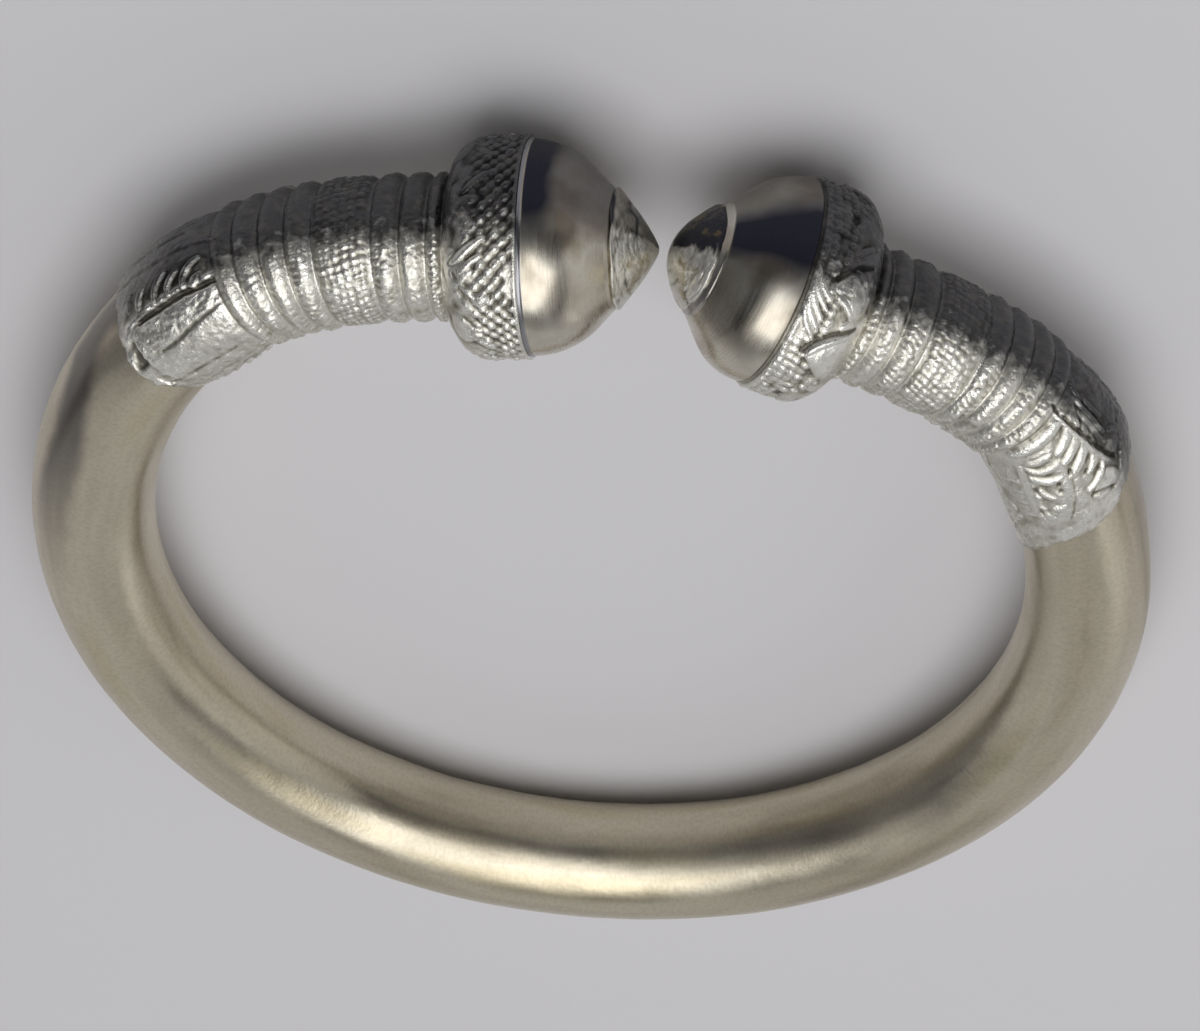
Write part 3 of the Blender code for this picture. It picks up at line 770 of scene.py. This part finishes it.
# %% Chasing on the right leaf
RIGHT_LEAF_MARKS = (
    (blade, (41.8, 40.0), (41.7, 99.0), -0.3, 0.62, 0.24, 0.05, 0.4),
    (blade, (42.7, 36.0), (44.4, 66.0), -0.25, 0.66, 0.208, 0.05),
    (blade, (43.6, 35.5), (45.8, 67.0), -0.30, 0.62, 0.208, 0.05),
    (blade, (44.6, 34.0), (47.5, 67.0), -0.45, 0.66, 0.208, 0.05),
    (blade, (46.8, 37.0), (48.8, 53.0), -0.4, 0.56, 0.192, 0.05),
    (blade, (49.5, 40.0), (50.7, 61.0), -0.25, 0.50, 0.32, 0.10),
    (blade, (41.2, 43.5), (50.8, 33.5), 0.7, 0.30, 0.256, 0.0, 0.3),
    (cut, (40.2, 40.0), (51.0, 28.5), 0.7, 0.34, 0.34, 0.25),
    (blade, (41.2, 13.0), (43.0, 19.0), 0.1, 0.34, 0.224),
    (blade, (42.6, 22.5), (47.6, 24.5), 0.3, 0.44, 0.32, 0.12, 0.3),
    (blade, (43.2, 28.5), (48.4, 29.5), 0.2, 0.36, 0.256, 0.12, 0.3),
    (blade, (43.6, 17.0), (46.6, 16.5), 0.2, 0.34, 0.192, 0.10, 0.3),
    (blade, (48.3, 21.0), (50.0, 13.5), -0.2, 0.36, 0.256),
    *((blade, (50.8 + 0.45 * step, 11.0 + 4.0 * step), (51.2 + 0.45 * step, 13.5 + 4.0 * step),
       0.0, 0.36, 0.288, 0.05) for step in range(5)),
    (blade, (43.9, 71.0), (43.4, 93.0), -0.2, 0.46, 0.144, 0.05),
    (blade, (45.5, 71.0), (44.0, 97.0), -0.45, 0.42, 0.144, 0.05),
    (blade, (46.9, 75.0), (45.2, 99.0), -0.40, 0.50, 0.192, 0.05),
    (blade, (48.9, 88.0), (47.1, 97.0), -0.35, 0.42, 0.16, 0.05),
    *((blade, (46.6 + 1.8 * step, 101.0), (45.0 + 1.8 * step, 122.0), 0.3, 0.44, 0.16, 0.05)
      for step in range(4)),
    (blade, (50.6, 83.0), (50.2, 93.0), -0.2, 0.46, 0.192, 0.05),
    (blade, (52.0, 95.0), (50.6, 102.0), -0.2, 0.42, 0.128, 0.04),
    (blade, (43.6, 102.0), (50.4, 111.0), 0.3, 0.60, 0.08, 0.02, 0.3),
    (cut, (46.6, 66.0), (52.6, 84.0), -0.4, 0.24, 0.16),
)
DOTS = ((48.4, 55.0), (46.9, 67.0), (48.3, 81.0), (49.5, 44.0), (47.4, 80.0))


def chase_right_leaf(sheet, seed):
    on_leaf = smooth((sheet.station - 40.8) / 0.5)
    rough = rough_grain(sheet, seed)
    soft = grain(sheet, 1.5, seed + 2)
    sheet.height = sheet.height + on_leaf * (0.08 * rough + 0.10 * soft)
    dots = [
        (cut, (place, turn - 1.5), (place + 0.1, turn + 1.5), 0.0, 0.30, 0.28, 0.6)
        for place, turn in DOTS]
    for turn, strength in WORN_THIRDS:
        chase(sheet, turn, strength, RIGHT_LEAF_MARKS)
        leaf(sheet, (51.9, turn + 44.0), 1.5, 1.9, 20.0, 0.20 * strength, 0.10 * strength)
        cut(sheet, (53.6, turn + 41.0), (51.5, turn + 61.0), 0.3, 0.26, 0.28 * strength)
        chase(sheet, turn, 1.0, dots)


chase_right_leaf(sheets["right"], 151)
print(f"right leaf relief {sheets['right'].height.min():.2f} to {sheets['right'].height.max():.2f} mm")

# %% [markdown]
# The edge of the sheet isn't cut clean: it is ragged, slightly lifted, and thinned towards the hoop. By the
# dome the left collar ends in a thin lip and the right one in a groove. Wear has rounded every mark a
# little. With these last touches the maps are rolled up.

# %% Roll up the collars
SEAM_BAND = {"left": 0.40, "right": 0.55}
SEAM_STEP = {"left": 0.16, "right": -0.30}

collars = {}
for side in SIDES:
    sheet = sheets[side]
    base = sheet.rows[:, None]
    scuffs = 0.022 * grain(sheet, 0.45, 203) + 0.014 * grain(sheet, 0.28, 204)
    worn = 0.7 * sheet.height + 0.3 * blur(sheet.height, 1, 1) + scuffs
    ragged = 0.35 * grain(sheet, 1.3, 201) + 0.2 * grain(sheet, 0.5, 202)
    edge = smooth((base - COLLAR_END[side] + 2.5) / 2.5)
    thinned = smooth((base - COLLAR_END[side] + 0.9) / 0.9)
    relief = mix(worn, SEAM_STEP[side], smooth((SEAM[side] + SEAM_BAND[side] - base) / 0.15 + 0.5))
    relief = relief * (1.0 - 0.25 * thinned) - 0.12 * thinned
    tarnish_and_shade = np.clip(0.5 + (blur(relief, 5, 6) - relief) / 0.46, 0.0, 1.0)
    place = sheet.place + ragged * edge
    collars[side] = roll_sheet(
        "chased_sheet_" + side, side, place, sheet.around, sheet.plain + relief, tarnish_and_shade)

# %% [markdown]
# ## The domes
# Each knob is closed by a plain dome of polished sheet: a round shoulder that runs out into a cone. The
# real ones are gently out of round, with a few dings, which is what bends their reflections. On the side that
# faces out of the ring a dark reflection is painted: darkest by the seam on the left dome, and in a band that
# runs to the cap on the right one. A fainter painted dark reflection lies on the upper side near the seam of
# both. Two thin edges stand proud and are rubbed pale, which is kept as a darkening below 0: the lip at the
# left seam, and the ring round the foot of the right cap.

# %% The domes
DOME_END_RADIUS = {"left": 5.9, "right": 5.5}
DOME_SLOPE = math.radians(47.0)
DOME_LIP = {"left": 0.11, "right": 0.0}
DOME_LIP_WIDTH = 0.50
FOOT_LIP = {"left": 0.06, "right": 0.16}
FOOT_LIP_WIDTH = {"left": 0.4, "right": 0.6}
DOME_ROWS = 110
DOME_COLUMNS = 220


def dome_radius(side, station):
    length = SEAM[side] - FINIAL_LENGTH[side]
    drop = KNOB_RADIUS - DOME_END_RADIUS[side]
    steep = math.tan(DOME_SLOPE)
    bend = (length * steep - drop) / (math.sin(DOME_SLOPE) * steep - 1.0 + math.cos(DOME_SLOPE))
    ahead = SEAM[side] - station
    on_round = bend - np.sqrt(np.clip(bend ** 2 - np.clip(ahead, 0.0, None) ** 2, 0.0, None))
    on_cone = bend * (1.0 - math.cos(DOME_SLOPE)) + (ahead - bend * math.sin(DOME_SLOPE)) * steep
    lip = DOME_LIP[side] * smooth((DOME_LIP_WIDTH - ahead) / 0.25)
    foot = FOOT_LIP[side] * smooth((FINIAL_LENGTH[side] + FOOT_LIP_WIDTH[side] - station) / 0.3)
    return KNOB_RADIUS + lip + foot - np.where(ahead < bend * math.sin(DOME_SLOPE), on_round, on_cone)


def dome_dark_reflections_and_lips(side, sheet):
    wander = 5.0 * grain(sheet, 4.0, 351) + 2.0 * grain(sheet, 1.3, 352)
    turn = signed(sheet.turn) + wander
    from_seam = SEAM[side] - sheet.station
    # A fainter painted dark reflection on the upper side, near the seam.
    low_patch = 0.30 * between(turn, 84.0, 99.0, 12.0) * between(from_seam, 0.8, 4.6, 2.0)
    if side == "right":
        rubbed_foot = smooth((FINIAL_LENGTH[side] + FOOT_LIP_WIDTH[side] + 0.1 - sheet.station) / 0.3)
        # Painted dark reflection over the outer side, darkest in a band from the seam to the cap.
        darkening = 0.80 * between(turn, 0.0, 44.0, 50.0) + 0.62 * between(turn, -60.0, 26.0, 44.0) + low_patch
        return darkening * (1.0 - 0.8 * rubbed_foot) - 0.5 * rubbed_foot
    rubbed_lip = smooth((DOME_LIP_WIDTH + 0.1 - from_seam) / 0.25)
    # Painted dark reflection over the outer side, darkest by the seam.
    by_seam = between(turn, -60.0, 41.0, 10.0) * smooth((4.2 - from_seam + 0.08 * wander) / 2.2)
    darkening = 0.45 * by_seam + 0.78 * between(turn, -60.0, 30.0, 40.0) + low_patch
    return mix(darkening, -1.0, rubbed_lip)


domes = {}
for side, seed in zip(SIDES, (301, 331)):
    rows = even_rows(lambda s: dome_radius(side, s), FINIAL_LENGTH[side] - 0.3, SEAM[side] + 0.02, DOME_ROWS)
    place = np.broadcast_to(rows[:, None], (DOME_ROWS, DOME_COLUMNS))
    sheet = new_sheet(rows, all_round(DOME_COLUMNS), place, dome_radius(side, rows)[:, None])
    dings = 0.06 * grain(sheet, 6.0, seed) + 0.02 * grain(sheet, 2.2, seed + 1)
    domes[side] = roll_sheet("polished_dome_" + side, side, place[::-1], sheet.around,
                             (sheet.plain + dings)[::-1], dome_dark_reflections_and_lips(side, sheet)[::-1])

# %% [markdown]
# ## The caps
# The small caps are the roughest part: thin sheet that was hammered over the end and crumpled since, with a
# thin torn edge at the foot. The left one is still a cone, the right one is nearly a ball. A dark reflection
# is painted on their outer side, the right one's most of all.
# A cap's outline folds back under its foot, so it can't be read as a radius at each station. Its points are
# spread evenly along the outline instead, and the grain is laid out by their order.

# %% The caps
CAP_RADIUS = {"left": 6.1, "right": 5.65}
CAP_ROUNDNESS = {"left": 0.80, "right": 0.52}
CAP_TIP = {"left": 0.5, "right": 0.9}
CAP_EDGE = 0.3
CAP_DARK = {"left": 0.55, "right": 1.0}
CAP_DARK_TURN = {"left": 22.0, "right": 31.0}
CAP_ROWS = 90
CAP_COLUMNS = 240
CAP_GRAIN_LENGTH = 12.0
CAP_GRAIN_RADIUS = 3.6


def cap_outline(side):
    """Places and radii from the inside of the torn foot to the tip."""
    foot = CAP_RADIUS[side]
    length = FINIAL_LENGTH[side]
    share = np.linspace(1.0, 0.02, 400)
    radius = CAP_TIP[side] * share ** 0.5 + (foot - CAP_TIP[side]) * share ** CAP_ROUNDNESS[side]
    outline = np.stack([(length - CAP_EDGE) * share, radius], -1)
    outline = np.vstack([[(length - 0.1, foot - 0.35), (length - 0.12, foot - 0.05)], outline])
    travelled = np.concatenate([[0.0], np.cumsum(np.hypot(*np.diff(outline, axis=0).T))])
    steps = np.linspace(0.0, travelled[-1], CAP_ROWS)
    outline = np.stack([np.interp(steps, travelled, outline[:, axis]) for axis in (0, 1)], -1)
    outline[1:-1] = (outline[:-2] + 2 * outline[1:-1] + outline[2:]) / 4
    return outline[:, :1], outline[:, 1:]


caps = {}
for side, seed in zip(SIDES, (401, 431)):
    place, radius = cap_outline(side)
    order = np.linspace(0.0, CAP_GRAIN_LENGTH, CAP_ROWS)
    place = np.broadcast_to(place, (CAP_ROWS, CAP_COLUMNS))
    sheet = new_sheet(order, all_round(CAP_COLUMNS), place, np.array([[CAP_GRAIN_RADIUS]]))
    unsteady(sheet, seed)
    crumples = np.abs(grain(sheet, 2.6, seed + 4)) ** 0.7 - 0.4
    fine = 0.06 * grain(sheet, 0.8, seed + 5) + 0.04 * grain(sheet, 0.4, seed + 6)
    marked = between(signed(sheet.turn - 62.0), -50.0, 50.0, 25.0)
    relief = (0.20 * crumples + fine * (0.3 + 0.9 * marked)) * np.clip(radius / CAP_RADIUS[side], 0.12, 1.0)
    torn = 0.13 * grain(sheet, 1.2, seed + 7) * np.exp(-((place - FINIAL_LENGTH[side]) / 0.5) ** 2)
    dark_end = CAP_DARK_TURN[side] + 6.0 * grain(sheet, 1.7, seed + 8)
    tarnish_and_shade = np.clip(0.5 + (blur(relief, 4, 5) - relief) / 0.14, 0.0, 1.0)
    # Painted dark reflection on the outer side of the cap.
    tarnish_and_shade = tarnish_and_shade + CAP_DARK[side] * between(signed(sheet.turn), -70.0, dark_end, 18.0)
    caps[side] = roll_sheet("worn_cap_" + side, side, place + torn, sheet.around, radius + relief, tarnish_and_shade)

# %% [markdown]
# ## Materials: helpers
# Colours are written as sRGB hex values, the way a colour picker shows them, and one function turns them
# into the linear values that the renderer works with. A second function adds a node with its settings, its
# values, its links and, for a colour ramp, its stops.
# All four finishes are silver, so a third function starts a metal and reads what the meshes keep for it.
# The patterns read the straightened tube in millimetres, so a noise of scale 0.5 has patches 2 mm apart.

# %% Colour and node helpers


def colour(hex_code):
    channels = [int(hex_code[i:i + 2], 16) / 255.0 for i in (1, 3, 5)]
    linear = [c / 12.92 if c <= 0.04045 else ((c + 0.055) / 1.055) ** 2.4 for c in channels]
    return (*linear, 1.0)


def node(material, kind, inputs=None, settings=None, stops=None, output=0):
    """Add a node and give back one of its outputs. An input takes a value, or a link where it gets another
    node's output. stops are a ramp's places, each with a grey level or a hex colour."""
    added = material.node_tree.nodes.new("ShaderNode" + kind)
    for name, value in (settings or {}).items():
        setattr(added, name, value)
    for name, value in (inputs or {}).items():
        if isinstance(value, bpy.types.NodeSocket):
            material.node_tree.links.new(value, added.inputs[name])
        else:
            added.inputs[name].default_value = value
    if stops:
        elements = added.color_ramp.elements
        while len(elements) < len(stops):
            elements.new(0.5)
        for element, (place, value) in zip(elements, stops):
            element.position = place
            element.color = colour(value) if isinstance(value, str) else (value, value, value, 1.0)
    return added.outputs[output]


def new_metal(name):
    """A metallic material, its shader, each point's place on the straightened tube in mm, and how dark the
    mesh makes it.
    """
    material = bpy.data.materials.new(name)
    material.use_nodes = True
    shader = material.node_tree.nodes["Principled BSDF"]
    shader.inputs["Metallic"].default_value = 1.0
    tube = node(material, "Attribute", settings={"attribute_name": "straightened"}, output="Vector")
    darkening = node(material, "Attribute", settings={"attribute_name": "tarnish_and_shade"}, output="Fac")
    return material, shader, tube, darkening


def connect(material, shader, base_color, roughness, normal):
    for name, source in (("Base Color", base_color), ("Roughness", roughness), ("Normal", normal)):
        material.node_tree.links.new(source, shader.inputs[name])


COLOUR = {"data_type": "RGBA"}
MULTIPLIED = {"data_type": "RGBA", "blend_type": "MULTIPLY"}
MIXED = 2

# %% [markdown]
# ## Satin silver of the hoop
# Old silver that has been cleaned and rubbed with a cloth: a warm grey metal whose thin yellowish tarnish
# comes and goes in soft streaks along the tube, 6 mm wide and 45 mm long. Fine rub marks lie on it in all
# directions. The real ones are finer than the render can show, so they are drawn about half a millimetre
# apart, as coarse as they need to be. Where the mesh holds its darkening, by the collars, a dark reflection
# is painted in grey.

# %% Material: satin silver
satin, shader, tube, darkening = new_metal("satin_silver")
along_tube = node(satin, "Mapping", {"Scale": (0.17, 0.17, 0.022), "Vector": tube})
streaks = node(satin, "TexNoise", {"Scale": 1.0, "Detail": 4.0, "Vector": along_tube})
film = node(satin, "ValToRGB", {"Fac": streaks}, stops=(
    (0.34, "#aba18c"), (0.44, "#c4baa5"), (0.56, "#d0c7b3"), (0.66, "#cabfa4")))
rub_marks = node(satin, "Mapping", {"Scale": (1.9, 1.9, 2.6), "Vector": tube})
rubbing = node(satin, "TexNoise", {"Scale": 1.0, "Detail": 3.0, "Vector": rub_marks})
spotted = node(satin, "ValToRGB", {"Fac": rubbing}, stops=((0.36, 0.90), (0.58, 1.0)))
rubbed = node(satin, "Mix", {0: 1.0, 6: film, 7: spotted}, MULTIPLIED, output=MIXED)
# Painted dark reflection: the streaks by the collars, in this grey.
tinted = node(satin, "Mix", {0: darkening, 6: rubbed, 7: colour("#5f5c5c")}, COLOUR, output=MIXED)
patches = node(satin, "TexNoise", {"Scale": 0.05, "Detail": 3.0, "Vector": tube})
rough = node(satin, "ValToRGB", {"Fac": patches}, stops=((0.42, 0.28), (0.60, 0.40)))
bump = node(satin, "Bump", {"Strength": 1.0, "Distance": 0.000015, "Height": rubbing})
connect(satin, shader, tinted, rough, bump)
print("satin silver ready")

# %% [markdown]
# ## Chased silver of the collars
# The same metal, brighter on the crests where it is touched, and dark in the hollows, where silver sulphide
# stays when the piece is cleaned. The darkening value of the mesh drives that change, a little uneven with
# stains 3 mm apart. On the side that faces out of the ring lies a painted dark reflection in blue-grey,
# mottled every millimetre, which thins towards the hoop. Pits of 0.3 mm roughen the surface.

# %% Material: chased silver
# The middle of the painted dark reflection on the side that faces out of the ring.
DARK_SIDE_TURN = math.radians(-8.0)
DARK_SIDE_MIDDLE = (math.cos(DARK_SIDE_TURN), math.sin(DARK_SIDE_TURN), 0.0)

chased, shader, tube, darkening = new_metal("chased_silver")
stain = node(chased, "TexNoise", {"Scale": 0.35, "Detail": 4.0, "Vector": tube})
depth = node(chased, "Math", {0: stain, 1: 0.3, 2: darkening}, {"operation": "MULTIPLY_ADD"})
crests = node(chased, "ValToRGB", {"Fac": depth}, stops=(
    (0.45, "#eeece4"), (0.68, "#dcd9cf"), (0.86, "#b4b0a2"), (1.0, "#77736a")))
mottle = node(chased, "TexNoise", {"Scale": 0.9, "Detail": 5.0, "Vector": tube})
flat = node(chased, "VectorMath", {0: tube, 1: (1.0, 1.0, 0.0)}, {"operation": "MULTIPLY"})
unit = node(chased, "VectorMath", {0: flat}, {"operation": "NORMALIZE"})
facing = node(chased, "VectorMath", {0: unit, 1: DARK_SIDE_MIDDLE}, {"operation": "DOT_PRODUCT"}, output="Value")
wander = node(chased, "Math", {0: mottle, 1: 0.55, 2: -0.275}, {"operation": "MULTIPLY_ADD"})
outward = node(chased, "Math", {0: wander, 1: facing}, {"operation": "ADD"})
outer = node(chased, "ValToRGB", {"Fac": outward}, stops=((0.60, 0.0), (0.84, 0.9)))
station = node(chased, "SeparateXYZ", {"Vector": tube}, output="Z")
fade = node(chased, "MapRange", {
    "Value": station, "From Min": 47.0, "From Max": 55.0, "To Min": 1.0, "To Max": 0.6})
# Painted dark reflection on the outer side, weaker towards the hoop.
skin = node(chased, "Math", {0: outer, 1: fade}, {"operation": "MULTIPLY"})
# Blue-grey tones of the painted dark reflection.
dark_side_tones = node(chased, "ValToRGB", {"Fac": mottle}, stops=(
    (0.36, "#232739"), (0.50, "#30313c"), (0.66, "#4c4a4c")))
deep = node(chased, "Mix", {0: 0.8, 6: dark_side_tones, 7: crests}, MULTIPLIED, output=MIXED)
crests_and_dark_side = node(chased, "Mix", {0: skin, 6: crests, 7: deep}, COLOUR, output=MIXED)
rough = node(chased, "ValToRGB", {"Fac": depth}, stops=((0.5, 0.24), (0.8, 0.34), (1.0, 0.46)))
pits = node(chased, "TexNoise", {"Scale": 3.2, "Detail": 4.0, "Roughness": 0.6, "Vector": tube})
bump = node(chased, "Bump", {"Strength": 1.0, "Distance": 0.0001, "Height": pits})
connect(chased, shader, crests_and_dark_side, rough, bump)
print("chased silver ready")

# %% [markdown]
# ## Polished silver of the domes
# Smooth enough to mirror the lights softly, with brown tarnish in clouds 8 mm across, the blue-black painted
# dark reflection and the pale edges that the mesh keeps, and hairline scratches that go round the dome, 0.15
# mm apart. The real scratches are finer, and are drawn this coarse so that they show. Under the painted dark
# reflection the polish is also duller.

# %% Material: polished silver
polished, shader, tube, darkening = new_metal("polished_silver")
clouds = node(polished, "TexNoise", {"Scale": 0.12, "Detail": 4.0, "Vector": tube})
film = node(polished, "ValToRGB", {"Fac": clouds}, stops=(
    (0.36, "#aea290"), (0.48, "#cdc8bb"), (0.60, "#bdb5a6"), (0.70, "#a09889")))
# dark is the painted dark reflection of the mesh, mixed in blue-black.
dark = node(polished, "Math", {0: darkening, 1: 0.92}, {"operation": "MULTIPLY", "use_clamp": True})
banded = node(polished, "Mix", {0: dark, 6: film, 7: colour("#34353f")}, COLOUR, output=MIXED)
pale = node(polished, "Math", {0: darkening, 1: -1.0}, {"operation": "MULTIPLY", "use_clamp": True})
tinted = node(polished, "Mix", {0: pale, 6: banded, 7: colour("#96969a")}, COLOUR, output=MIXED)
round_dome = node(polished, "Mapping", {"Scale": (0.3, 0.3, 7.0), "Vector": tube})
hairlines = node(polished, "TexNoise", {"Scale": 1.0, "Detail": 4.0, "Vector": round_dome})
brushed = node(polished, "ValToRGB", {"Fac": hairlines}, stops=((0.3, 0.21), (0.7, 0.31)))
rough = node(polished, "Math", {0: dark, 1: 0.22, 2: brushed}, {"operation": "MULTIPLY_ADD"})
bump = node(polished, "Bump", {"Strength": 0.12, "Distance": 0.00003, "Height": hairlines})
connect(polished, shader, tinted, rough, bump)
print("polished silver ready")

# %% [markdown]
# ## Worn silver of the caps
# Scuffed and scratched in all directions, about 0.3 mm apart, whitish where the metal is crushed and
# yellow-brown in patches 2.5 mm apart, where old dirt sits in the creases.

# %% Material: worn silver
scuffed, shader, tube, darkening = new_metal("worn_silver")
half = node(scuffed, "Math", {0: darkening, 1: 0.6}, {"operation": "MULTIPLY"})
# The lighter stops are crests and tarnished creases; the darkest is reached only under the painted dark
# reflection on the outer side.
metal = node(scuffed, "ValToRGB", {"Fac": half}, stops=(
    (0.25, "#e6e4dd"), (0.40, "#c6c3ba"), (0.55, "#938f86"), (0.75, "#3a3a40")))
stain = node(scuffed, "TexNoise", {"Scale": 0.4, "Detail": 3.0, "Vector": tube})
dirt = node(scuffed, "ValToRGB", {"Fac": stain}, stops=((0.58, 0.0), (0.70, 0.5)))
soiled = node(scuffed, "Mix", {0: dirt, 6: metal, 7: colour("#a08c5a")}, COLOUR, output=MIXED)
scratches = node(scuffed, "TexNoise", {"Scale": 3.5, "Detail": 4.0, "Vector": tube})
rough = node(scuffed, "ValToRGB", {"Fac": scratches}, stops=((0.35, 0.32), (0.65, 0.50)))
bump = node(scuffed, "Bump", {"Strength": 0.8, "Distance": 0.0001, "Height": scratches})
connect(scuffed, shader, soiled, rough, bump)
print("worn silver ready")

# %% [markdown]
# ## Give each piece its finish and its place in the model
# Every piece stands for one CAD node, so that node is hidden and the piece takes its part.

# %% Dress the pieces
dressing = [(hoop, "hoop", satin, "hoop_silver")]
for side in SIDES:
    dressing.append((collars[side], "chased_collar_" + side, chased, "chased_silver"))
    dressing.append((domes[side], "knob_dome_" + side, polished, "polished_silver"))
    dressing.append((caps[side], "finial_cap_" + side, scuffed, "worn_silver"))
for piece, cad_node, finish, slot in dressing:
    piece.data.materials.append(finish)
    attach(piece, "root")
    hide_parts(cad_node)
print("dressed:", [piece.name for piece, *_ in dressing])

# %% [markdown]
# ## Floor and light
# The anklet lies on pale grey card under a wide softbox that hangs straight above it, with a larger and
# dimmer one round it, so that highlights fade softly at their edges. Low dim walls of light stand behind
# the ring and on both sides, the brightest one on the right. On the side of the camera there is only one
# low and narrow strip, so the faces that look that way go dark.

# %% Floor
card_sheet = bmesh.new()
bmesh.ops.create_grid(card_sheet, x_segments=4, y_segments=4, size=1.5)
floor_mesh = bpy.data.meshes.new("pale_floor")
card_sheet.to_mesh(floor_mesh)
card_sheet.free()
floor = bpy.data.objects.new("pale_floor", floor_mesh)
bpy.context.scene.collection.objects.link(floor)
card = bpy.data.materials.new("pale_card")
card.use_nodes = True
card_shader = card.node_tree.nodes["Principled BSDF"]
card_shader.inputs["Base Color"].default_value = colour("#dcdadc")
card_shader.inputs["Roughness"].default_value = 0.8
floor_mesh.materials.append(card)
floor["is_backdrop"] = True

# %% Lights


def soft_light(name, place, size, power):
    """A rectangle of light that faces the middle of the floor."""
    light = bpy.data.lights.new(name, "AREA")
    light.shape = "RECTANGLE"
    light.size, light.size_y = size
    light.energy = power
    lamp = bpy.data.objects.new(name, light)
    bpy.context.scene.collection.objects.link(lamp)
    lamp.matrix_world = Matrix.LocRotScale(Vector(place), Vector(place).to_track_quat("Z", "Y"), None)


soft_light("softbox", (0.06, 0.15, 1.00), (0.85, 1.05), 5.6)
soft_light("softbox_edge", (0.02, 0.10, 0.99), (1.60, 1.60), 2.4)
soft_light("front_strip", (0.0, 1.10, 0.16), (2.0, 0.3), 0.8)
soft_light("right_wall", (0.93, 0.0, 0.36), (1.6, 0.75), 2.2)
soft_light("left_wall", (-0.97, 0.0, 0.24), (1.5, 0.5), 0.3)
soft_light("back_wall", (0.0, -0.90, 0.42), (2.4, 0.9), 3.2)
world = bpy.data.worlds.new("dim_room")
world.use_nodes = True
world.node_tree.nodes["Background"].inputs["Color"].default_value = colour("#34363c")
world.node_tree.nodes["Background"].inputs["Strength"].default_value = 1.0
bpy.context.scene.world = world
bpy.context.scene.view_settings.view_transform = "Standard"

# %% Sizes, and the end
dressed_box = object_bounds()
for name, corners in (("CAD", cad_box), ("dressed", dressed_box)):
    print(name, [round(1000 * (high - low), 2) for low, high in zip(*corners)], "mm")
